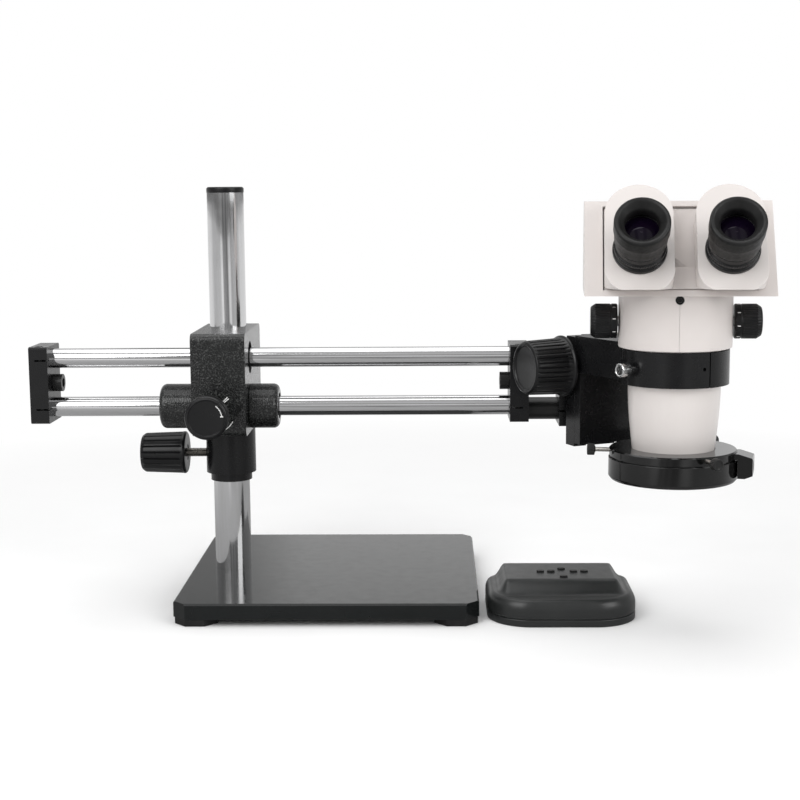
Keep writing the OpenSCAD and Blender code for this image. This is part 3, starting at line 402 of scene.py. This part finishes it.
def ribs(count, depth, low, high, groove, fade=1.2):
    """Cut function for count ribs between two heights.

    groove is the grooves' share of a pitch, and fade is the length over which they run out.
    """
    flank = 0.3  # share of half a pitch over which a groove gets its depth

    def cut(angle, z):
        phase = abs((angle * count / TURN) % 1 - 0.5) * 2
        return depth * smooth((groove + flank / 2 - phase) / flank) * clamp(min(z - low, high - z) / fade)
    return cut


def facing(point, axis):
    """Matrix in metres with its origin at point and its Z along axis."""
    z = Vector(axis).normalized()
    x = Vector((0, 0, 1)).cross(z)
    if x.length < 1e-6:
        x = Vector((0, 1, 0)).cross(z)
    x.normalize()
    y = z.cross(x)
    turn = Matrix((x, y, z)).transposed().to_4x4()
    return Matrix.Translation(Vector(point)) @ turn


def on_hinge(name, shift=0.0, flip=False):
    """Matrix on a hinge's axis, shift mm along it."""
    axis = Vector(HINGE[name]["axis"]).normalized()
    point = Vector(HINGE[name]["pos_m"]) + axis * shift * MM
    return facing(point, -axis if flip else axis)


def softened(node, width, segments):
    """A copy of a CAD node's shape with every hard edge rounded to width mm."""
    bm = bmesh.new()
    bm.from_mesh(frame["nodes"][node].data)
    bmesh.ops.remove_doubles(bm, verts=bm.verts, dist=2e-6)
    bmesh.ops.dissolve_limit(bm, angle_limit=FLAT_ANGLE, verts=bm.verts, edges=bm.edges)
    mesh = bpy.data.meshes.new(node + "_soft")
    bm.to_mesh(mesh)
    bm.free()
    obj = bpy.data.objects.new(mesh.name, mesh)
    bpy.context.scene.collection.objects.link(obj)
    bevel = obj.modifiers.new("round", "BEVEL")
    bevel.width = width * MM
    bevel.segments = segments
    bevel.limit_method = "ANGLE"
    bevel.angle_limit = HARD_EDGE_ANGLE
    bevel.miter_outer = "MITER_ARC"
    mesh.shade_smooth()
    weighted = obj.modifiers.new("flat_faces", "WEIGHTED_NORMAL")
    weighted.mode = "FACE_AREA"
    weighted.weight = 100
    bpy.context.view_layer.update()
    result = bpy.data.meshes.new_from_object(obj.evaluated_get(bpy.context.evaluated_depsgraph_get()))
    bpy.data.objects.remove(obj)
    return result


def soften(node, width, segments=3):
    """Puts a softened copy in a CAD node's place."""
    put_instead(node + "_shell", softened(node, width, segments), node)


# ---------- stand ----------

def thread(name, d, pitch, length, place):
    """A threaded rod from z = 0 to length, with one continuous helix."""
    steps = 32
    depth = pitch * 0.45
    total = steps * int(length / pitch)
    points, faces = [], []
    for i in range(total + 1):
        angle = TURN * i / steps
        z = length * i / total
        low = max(0.0, z - pitch / 2)
        high = min(length, z + pitch / 2)
        for r, h in ((d / 2 - depth, low), (d / 2, z), (d / 2 - depth, high)):
            points.append((r * math.cos(angle), r * math.sin(angle), h))
    for i in range(total):
        for k in range(2):
            a = i * 3 + k
            faces.append((a, a + 1, a + 4, a + 3))
    root = d / 2 - depth + 0.02
    core = lathe(name, [(0, 0), (root, 0), (root, length), (0, length)], None, 0.05, steps)
    helix = new_mesh(name, points, faces)
    both = joined(name, [core, helix])
    both.transform(place)
    return both


def stand():
    """Base plate, feet, collar and the column's end cap, whose stem reaches into the column."""
    soften("base_plate", 0.9)
    soften("base_feet", 0.8)
    soften("height_collar", 0.5)
    low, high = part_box("column_cap")
    r = (high.x - low.x) / 2 / MM
    top = high.z / MM
    stem, rim, chamfer = 9, 5, 1.2
    outline = [(0, low.z / MM), (stem, low.z / MM), (stem, top - rim), (r, top - rim), (r, top - chamfer),
               (r - chamfer, top), (0, top)]
    cap = lathe("cap", outline, Matrix.Translation(COLUMN), 0.5)
    put_instead("column_cap_moulding", cap, "column_cap")


def lock():
    """The collar's lock knob on its threaded rod, pointing to the left."""
    inner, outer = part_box("lock_knob")[1].x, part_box("lock_knob")[0].x
    length = (inner - outer) / MM
    centre = Vector(HINGE["collar_lock_turn"]["pos_m"])
    place = facing((inner, centre.y, centre.z), (-1, 0, 0))
    outline = [(0, 0.6), (6.5, 0.6), (7, 0), (17.6, 0), (19, 1.6), (18.6, 4), (17.5, length - 3.4),
               (15.2, length - 0.2), (13.2, length), (12.4, length - 0.8), (0, length - 0.8)]
    grip = ribs(20, 1.5, 3.2, length - 1.4, groove=0.22, fade=1.5)
    knob = lathe("knob", outline, place, 0.8, 240, grip)
    put_instead("lock_knob_moulding", knob, "lock_knob")
    low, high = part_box("lock_screw")
    rod_d, pitch = 8, 1.25
    place = facing((low.x, centre.y, centre.z), (1, 0, 0))
    rod = thread("rod", rod_d, pitch, (high.x - low.x) / MM, place)
    put_instead("lock_screw_thread", rod, "lock_screw")


def sector(r_in, r_out, start, end, place, steps):
    """A flat raised arc for an index mark, from angle start to end in degrees."""
    lift = 0.1
    points, faces = [], []
    for i in range(steps + 1):
        a = math.radians(start + (end - start) * i / steps)
        for r, z in ((r_in, 0), (r_out, 0), (r_out, lift), (r_in, lift)):
            points.append((r * math.cos(a), r * math.sin(a), z))
    for i in range(steps):
        for k in range(4):
            faces.append((i * 4 + k, i * 4 + (k + 1) % 4, i * 4 + 4 + (k + 1) % 4, i * 4 + 4 + k))
    faces.append((0, 1, 2, 3))
    faces.append(tuple(steps * 4 + k for k in (3, 2, 1, 0)))
    return new_mesh("sector", points, faces, place)


def block():
    """Bearing block and barrels, and the tension knob: a ribbed head on a slim neck, with its marks."""
    soften("bearing_block", 1.8, segments=4)
    soften("bearing_barrels", 0.7)
    low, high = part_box("tension_knob")
    centre = Vector(HINGE["tension_turn"]["pos_m"])
    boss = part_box("bearing_block")[0].y
    root = boss - MM
    r = (high.x - low.x) / 2 / MM
    length = (root - low.y) / MM
    neck, head, dish = 9, length - 12, length - 0.9
    place = facing((centre.x, root, centre.z), (0, -1, 0))
    outline = [(0, 0), (neck, 0), (neck, head - 4), (r - 1, head), (r, head + 0.8), (r, length - 2.6),
               (r - 0.9, length - 1.1), (r - 1.6, length - 0.7), (r - 2.2, length), (r - 2.9, length),
               (r - 3.5, dish), (0, dish)]
    grip = ribs(30, 0.8, head + 0.8, length - 2.8, groove=0.3)
    knob = lathe("knob", outline, place, 0.35, 240, grip)
    shank = lathe("shank", [(0, -18), (4, -18), (4, 0.2), (0, 0.2)], place, 0.4, 48)
    put_instead("tension_knob_moulding", joined("tension", [knob, shank]), "tension_knob")
    face = place @ Matrix.Translation((0, 0, dish * MM))
    arc = sector(r - 5.4, r - 4.7, 8, 52, face, 24)
    tip = sector(r - 6.3, r - 3.9, 4, 8.5, face, 4)
    put("tension_knob_arrow", joined("marks", [arc, tip]), "tension_knob", WHITE_INK)
    ring = facing((centre.x, boss, centre.z), (0, -1, 0))
    bars = [sector(11.5, 17.2, a, a + 3.2, ring, 4) for a in (37, 42.5)]
    bow = sector(18.2, 18.8, -56, -28, ring, 12)
    put("tension_index_marks", joined("index", bars + [bow]), "bearing_block", WHITE_INK)


def boom():
    """What the boom carries at its ends; its two tubes keep their CAD shapes."""
    soften("end_blocks", 0.7)
    soften("boom_screws", 0.25)
    soften("stub_pin", 0.4)
    soften("knuckle", 0.8)


# ---------- focus mount ----------

def focus_knob_mesh(place):
    """A tapered knob with a flange at its root and a shallow dish in its face."""
    length, flange, grip, rim = 37.0, 25.5, 22.5, 20.2
    outline = [(0, 0), (flange - 1.5, 0), (flange, 0.8), (flange, 2.4), (flange - 1.3, 3.4), (grip + 0.9, 8),
               (grip, length - 3.4), (rim + 1.4, length - 0.8), (rim, length), (rim - 1, length),
               (rim - 1.9, length - 0.8), (rim - 2.4, length - 1.6), (0, length - 1.6)]
    ridges = ribs(36, 0.95, 4.5, length - 1.2, groove=0.26, fade=1.6)
    return lathe("focus_knob", outline, place, 0.6, 280, ridges)


def focus_mount():
    """Focus housing, carriage, holder ring, both focus knobs and the pod's lock screw."""
    soften("focus_housing", 1.0)
    soften("focus_carriage", 1.4, segments=4)
    soften("holder_ring", 0.6)
    root = 47.2  # of each knob, from the middle of their shaft
    right = focus_knob_mesh(on_hinge("focus_turn", -root, flip=True))
    left = focus_knob_mesh(on_hinge("focus_turn", root))
    put_instead("focus_knob_mouldings", joined("knobs", [right, left]), "focus_knobs")
    r, length = 5.5, 8
    outline = [(0, -9.4), (2.5, -9.4), (2.5, -1), (r - 0.5, -1), (r, -0.5), (r, length - 0.6),
               (r - 0.6, length), (r - 1.3, length), (r - 1.6, length - 0.4), (0, length - 0.4)]
    grip = ribs(24, 0.45, -0.2, length - 0.8, groove=0.4, fade=0.5)
    screw = lathe("screw", outline, on_hinge("pod_lock_turn"), 0.3, 144, grip)
    put_instead("pod_lock_thumb_screw", screw, "pod_lock_screw")


# ---------- microscope ----------

def body():
    """Painted and moulded shells of the pod and the head."""
    soften("lower_body", 0.6)
    soften("upper_cover_left", 0.25, segments=2)
    soften("upper_cover_right", 0.25, segments=2)
    soften("head_frame", 1.6, segments=4)
    soften("head_panel", 0.6)
    soften("objective_barrel", 0.4)
    for side in ("left", "right"):
        soften(side + "_eyetube", 2.0, segments=4)


def zoom():
    """Two ribbed zoom knobs, each with a smooth band of ticks at its root."""
    root, length, r, tick_count = 45.3, 21.2, 13.75, 8
    outline = [(0, 0), (r - 0.85, 0), (r, 0.8), (r, 4.6), (r - 0.45, 5.0), (r - 0.45, 5.6), (r, 6.0),
               (r, length - 4), (11.4, length - 0.4), (10.4, length), (0, length)]
    grip = ribs(36, 0.55, 6.4, length - 3.2, groove=0.4, fade=0.8)
    knobs, ticks = [], []
    for flip, shift in ((False, root), (True, -root)):
        place = on_hinge("zoom_turn", shift, flip)
        knobs.append(lathe("zoom", outline, place, 0.4, 288, grip))
        for i in range(tick_count):
            ticks.append(band_mark(place, r, TURN * i / tick_count + 0.2))
    put_instead("zoom_knob_mouldings", joined("zoom", knobs), "zoom_knobs")
    put("zoom_scale_ticks", joined("ticks", ticks), "zoom_knobs", WHITE_INK)


def band_mark(place, r, angle):
    """A small raised tick, printed along a drum of radius r."""
    low, high, half_width = 1.6, 4.0, 0.35
    points = []
    for z in (low, high):
        for side in (-1, 1):
            for lift in (-0.15, 0.06):
                a = angle + side * half_width / r
                points.append(((r + lift) * math.cos(a), (r + lift) * math.sin(a), z))
    faces = [(0, 1, 3, 2), (4, 6, 7, 5), (0, 4, 5, 1), (2, 3, 7, 6), (0, 2, 6, 4), (1, 5, 7, 3)]
    return new_mesh("tick", points, faces, place)


def eyepieces():
    """Barrels with a knurled diopter ring, and rubber cups with a broad rim that slopes in."""
    low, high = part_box("left_eyecup")
    cup_r = (high - low).x / MM / 2 * 0.985  # the box of the tilted cup is slightly wider than the cup
    tube_r, ring_r, rim = 18.5, 19.7, 43
    barrel = [(13, -8.5), (15, -8.5), (15, 0.3), (cup_r - 0.3, 0.3), (cup_r - 0.3, 3.4),
              (ring_r + 0.2, 4.0), (ring_r - 0.5, 4.3), (ring_r - 0.5, 5.6), (ring_r, 6.2), (ring_r, 8.6),
              (ring_r - 0.6, 9.2), (tube_r, 9.5), (tube_r, 14.6), (tube_r - 0.3, 15.0),
              (tube_r - 0.3, 15.4), (tube_r, 15.8), (tube_r, 26), (14, 26), (14, 22), (13, 22), (13, -8.5)]
    cup = [(18.52, 17), (19.4, 17), (19.7, 18), (19.9, 24), (20.2, 27.5), (cup_r, 31), (cup_r, rim - 2.2),
           (cup_r - 0.5, rim - 0.6), (cup_r - 1.6, rim), (cup_r - 3.2, rim - 0.5), (14.6, 39.2),
           (13.2, 37.6), (12.4, 35.8), (12.6, 30), (14.4, 27.6), (16, 26.4), (18.52, 26.4), (18.52, 17)]
    knurl = ribs(60, 0.35, 5.8, 8.9, groove=0.45, fade=0.4)
    start = -3.0  # of both outlines, along the diopter's axis from its joint
    for side in ("left", "right"):
        place = on_hinge(side + "_diopter", start)
        put_instead(side + "_eyepiece_barrel", lathe("barrel", barrel, place, 0.3, 240, knurl),
                    side + "_eyepiece")
        put_instead(side + "_eyecup_rubber", lathe("cup", cup, place, 0.8, 128), side + "_eyecup")


# ---------- ring light ----------

SCREW_ANGLES = (176, 56, -64)            # degrees round the pod, from the zoom knobs' axis
SCREW_R, SCREW_Z = 62, 147.5             # where the thumb screws' heads begin
LED_COUNT, LED_R, LED_Z = 24, 40, 131.0  # one circle of LEDs that look down


def round_the_pod(angle, r, z):
    """A place in metres at an angle round the pod, and the direction outwards."""
    out = Vector((math.cos(angle + HEADING), math.sin(angle + HEADING), 0))
    return Vector((SCOPE.x, SCOPE.y, z * MM)) + out * r * MM, out


def ring_light():
    """Housing and bezel, three thumb screws with black heads and bright shafts, and the LEDs' domes."""
    soften("ring_light_housing", 0.5)
    soften("ring_light_bezel", 0.5)
    head = [(0, -0.6), (2.6, -0.6), (2.9, 0), (4.3, 0), (4.75, 0.5), (4.75, 5.5), (4.3, 6), (3.2, 6),
            (2.9, 5.6), (0, 5.6)]
    shaft = [(0, -28.6), (1.2, -28.6), (1.75, -27.9), (1.75, -0.5), (0, -0.5)]
    dome = [(0, -0.2), (1.9, -0.2), (1.9, 1.0), (1.75, 1.8), (1.2, 2.35), (0, 2.6)]
    grip = ribs(20, 0.4, 0.2, 5.8, groove=0.4, fade=0.4)
    places = [facing(*round_the_pod(math.radians(a), SCREW_R, SCREW_Z)) for a in SCREW_ANGLES]
    heads = [lathe("head", head, place, 0.25, 120, grip) for place in places]
    shafts = [lathe("shaft", shaft, place, 0.2, 48) for place in places]
    put_instead("ring_light_thumb_heads", joined("heads", heads), "ring_light_screws", LOOKS["black_steel"])
    put("ring_light_thumb_shafts", joined("shafts", shafts), "ring_light_screws")
    spots = [round_the_pod(TURN * i / LED_COUNT, LED_R, LED_Z)[0] for i in range(LED_COUNT)]
    domes = [lathe("dome", dome, facing(spot, (0, 0, -1)), 0.3, 24) for spot in spots]
    put("led_domes", joined("domes", domes), "led_board", PHOSPHOR)


# ---------- controller ----------

def outline_points(w, d, front, back):
    """Points round a rectangle with its own corner radii in front and behind, as many for every size."""
    steps = 20
    corners = (
        (w / 2 - back, d / 2 - back, back), (-w / 2 + back, d / 2 - back, back),
        (-w / 2 + front, -d / 2 + front, front), (w / 2 - front, -d / 2 + front, front),
    )

    def on_corner(k, share):
        x, y, r = corners[k % 4]
        a = (k % 4 + share) * math.pi / 2
        return Vector((x + r * math.cos(a), y + r * math.sin(a)))

    points = []
    for k in range(4):
        points += [on_corner(k, i / steps) for i in range(steps + 1)]
        here, there = on_corner(k, 1), on_corner(k + 1, 0)
        points += [here.lerp(there, i / steps) for i in range(1, steps)]
    return points


def controller():
    """Moulded top shell as one height field: a rounded shoulder, and a pad with soft slopes round it."""
    low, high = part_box("controller_top")
    w, d = (high.x - low.x) / MM, (high.y - low.y) / MM
    seam, top = low.z / MM, high.z / MM
    shoulder, bend, bend_in, lip = 22.5, 10, 6.0, 1.1
    front_r, back_r, least_r = 36.0, 14.0, 1.5
    foot_x, foot_front, foot_back = 54, -31, d / 2 - 1.2
    slope_x, slope_front, slope_back = 9, 19, 5
    bend_steps, ring_step = 8, 1.3

    def pad(x, y):
        """Height of the raised pad over the shoulder, which rises from its foot lines inwards."""
        side = clamp((foot_x - abs(x)) / slope_x)
        front = clamp((y - foot_front) / slope_front)
        back = clamp((foot_back - y) / slope_back)
        return (top - shoulder) * smooth(1 - math.hypot(1 - side, 1 - front, 1 - back))

    wall = shoulder - bend
    rings = [(lip, seam), (lip, seam + 0.5), (0, seam + lip), (0, wall)]
    for i in range(1, bend_steps + 1):
        a = i / bend_steps * math.pi / 2
        rings.append((bend_in * (1 - math.cos(a)), wall + bend * math.sin(a)))
    inset = bend_in
    while inset < d / 2 - 2.5:
        inset += ring_step
        rings.append((inset, shoulder))
    points, faces = [], []
    for inset, z in rings:
        front, back = max(least_r, front_r - inset), max(least_r, back_r - inset * 0.6)
        share = smooth((z - wall) / bend)
        for p in outline_points(w - 2 * inset, d - 2 * inset, front, back):
            points.append((p.x, p.y, z + pad(p.x, p.y) * share))
    count = len(points) // len(rings)
    for k in range(len(rings) - 1):
        for i in range(count):
            j = (i + 1) % count
            faces.append((k * count + i, k * count + j, (k + 1) * count + j, (k + 1) * count + i))
    last = (len(rings) - 1) * count
    faces.append(tuple(last + i for i in range(count)))
    faces.append(tuple(reversed(range(count))))
    middle = (low + high) / 2
    shell = new_mesh("top", points, faces, Matrix.Translation((middle.x, middle.y, 0)))
    put_instead("controller_top_shell", shell, "controller_top")
    soften("controller_bottom", 1.2, segments=4)
    for node in [n for n in frame["nodes"] if n.startswith("button_")]:
        soften(node, 0.5)


def dress_the_nodes():
    """Every CAD node takes its slot's material, and the upright column has grinding lines of its own."""
    for name, obj in frame["nodes"].items():
        obj.data.materials.clear()
        obj.data.materials.append(COLUMN_CHROME if name == "column" else LOOKS[SLOT_OF[name]])


# ---------- studio ----------

# what metal and gloss reflect: grey levels along height, width and depth, and along the floor's sweep
HEIGHT_BANDS = [(0, 0.7), (0.46, 0.95), (0.485, 0.3), (0.505, 0.25), (0.525, 0.95), (0.64, 1.0), (0.67, 0.4),
                (0.7, 0.35), (0.74, 0.85), (0.9, 0.72), (1, 0.62)]
SIDE_BANDS = [(0, 0.6), (0.14, 0.75), (0.27, 0.95), (0.385, 1.0), (0.405, 0.5), (0.43, 0.5), (0.455, 1.0),
              (0.52, 1.0), (0.545, 0.6), (0.575, 0.6), (0.6, 0.95), (0.66, 0.9), (0.69, 0.55), (0.73, 0.85),
              (1, 0.6)]
DEPTH_BANDS = [(0, 0.75), (0.35, 0.75), (0.5, 0.85), (0.7, 0.9), (0.85, 0.85), (1, 1.0)]
SWEEP_BANDS = [(0, 0.6), (0.22, 0.7), (0.27, 1.05), (0.33, 1.05), (0.38, 0.3), (0.43, 0.5), (0.46, 0.22),
               (0.5, 0.42), (0.54, 0.2), (0.6, 0.3), (0.66, 0.9), (0.71, 0.95), (0.78, 0.5), (1, 0.6)]
WHITE = rgb(1.0, 1.0, 1.0)
MIDDLE = Vector((0.18, -0.05, 0.18))  # of the object, from the column's foot
LAMPS = (
    # name, place from the column's foot, side length in metres, power in watts
    ("key", Vector((-0.9, -1.5, 1.25)), 1.3, 20),
    ("fill", Vector((1.5, -1.2, 0.9)), 1.1, 13),
    ("top", Vector((0.15, 0.1, 1.6)), 1.5, 12),
)


def floor():
    """A white sweep: a matt floor near the object that turns into the backdrop's even tone further out.

    In reflections the far part shows soft boxes with dark gaps, which give black barrels their highlights.
    """
    width, behind_object, near_end, far_start = 60, 20, 0.4, 1.0
    bpy.ops.mesh.primitive_plane_add(size=width, location=(COLUMN.x + 0.2, behind_object, 0))
    plane = bpy.context.object
    plane.name = "floor"
    s = Shader("floor")
    out = s.vector("SUBTRACT", s.place, COLUMN + Vector((MIDDLE.x, 0, 0))).outputs["Vector"]
    far = s.span(s.vector("LENGTH", out).outputs["Value"], 0, 1, near_end, far_start)
    heading = s.vector("NORMALIZE", out).outputs["Vector"]
    split = s.add("ShaderNodeSeparateXYZ", Vector=heading).outputs
    behind = s.span(split["Y"], 0, 1, -0.2, 0.2)
    mirrored = s.mix(behind, s.bands(split["X"], SWEEP_BANDS), rgb(0.9, 0.9, 0.9))
    path = s.add("ShaderNodeLightPath").outputs
    near = s.mix(s.span(s.noise(90), 0, 1), rgb(0.93, 0.93, 0.93), rgb(0.945, 0.945, 0.945))
    near = s.mix(path["Is Glossy Ray"], near, rgb(0.4, 0.4, 0.4))
    s.set(Base_Color=s.mix(far, near, rgb(0, 0, 0)), Roughness=0.7, Specular_IOR_Level=0.0)
    s.set(Emission_Color=s.mix(path["Is Camera Ray"], mirrored, WHITE), Emission_Strength=far)
    plane.data.materials.append(s.material)


def surroundings():
    """White to the camera; in reflections, soft boxes with dark gaps that draw the lines on bright bars."""
    world = bpy.data.worlds.new("studio")
    bpy.context.scene.world = world
    world.use_nodes = True
    n = Nodes(world.node_tree)
    direction = n.add("ShaderNodeTexCoord").outputs["Generated"]
    split = n.add("ShaderNodeSeparateXYZ", Vector=direction).outputs
    panels = n.mix(1, n.bands(split["Z"], HEIGHT_BANDS), n.bands(split["X"], SIDE_BANDS), "MULTIPLY")
    panels = n.mix(1, panels, n.bands(split["Y"], DEPTH_BANDS), "MULTIPLY")
    by_camera = n.add("ShaderNodeLightPath").outputs["Is Camera Ray"]
    n.feed(n.tree.nodes["Background"].inputs["Color"], n.mix(by_camera, panels, WHITE))


def lamps():
    """Soft area lamps that look at the middle of the object."""
    for name, spot, side, power in LAMPS:
        light = bpy.data.lights.new(name, "AREA")
        light.size = side
        light.energy = power
        lamp = bpy.data.objects.new(name, light)
        bpy.context.scene.collection.objects.link(lamp)
        lamp.matrix_world = facing(COLUMN + spot, spot - MIDDLE)


def camera():
    """The photograph's viewpoint: nearly level, in front of the stand and to the right of its column."""
    place = COLUMN + Vector((0.1824, -1.2971, 0.3542))
    lens, sensor = 66.3, 36
    pitch, yaw, roll = math.radians(8.05), math.radians(1.36), math.radians(-0.45)
    forward = Vector((-math.sin(yaw) * math.cos(pitch), math.cos(yaw) * math.cos(pitch), -math.sin(pitch)))
    right = Vector((math.cos(yaw), math.sin(yaw), 0))
    up = right.cross(forward)
    right, up = math.cos(roll) * right + math.sin(roll) * up, math.cos(roll) * up - math.sin(roll) * right
    data = bpy.data.cameras.new("camera")
    data.lens = lens
    data.sensor_width = sensor
    obj = bpy.data.objects.new("camera", data)
    bpy.context.scene.collection.objects.link(obj)
    turn = Matrix((right, up, -forward)).transposed().to_4x4()
    obj.matrix_world = Matrix.Translation(place) @ turn
    bpy.context.scene.camera = obj
    bpy.context.scene.view_settings.view_transform = "Standard"


dress_the_nodes()
stand()
lock()
block()
boom()
focus_mount()
body()
zoom()
eyepieces()
ring_light()
controller()
floor()
surroundings()
lamps()
camera()
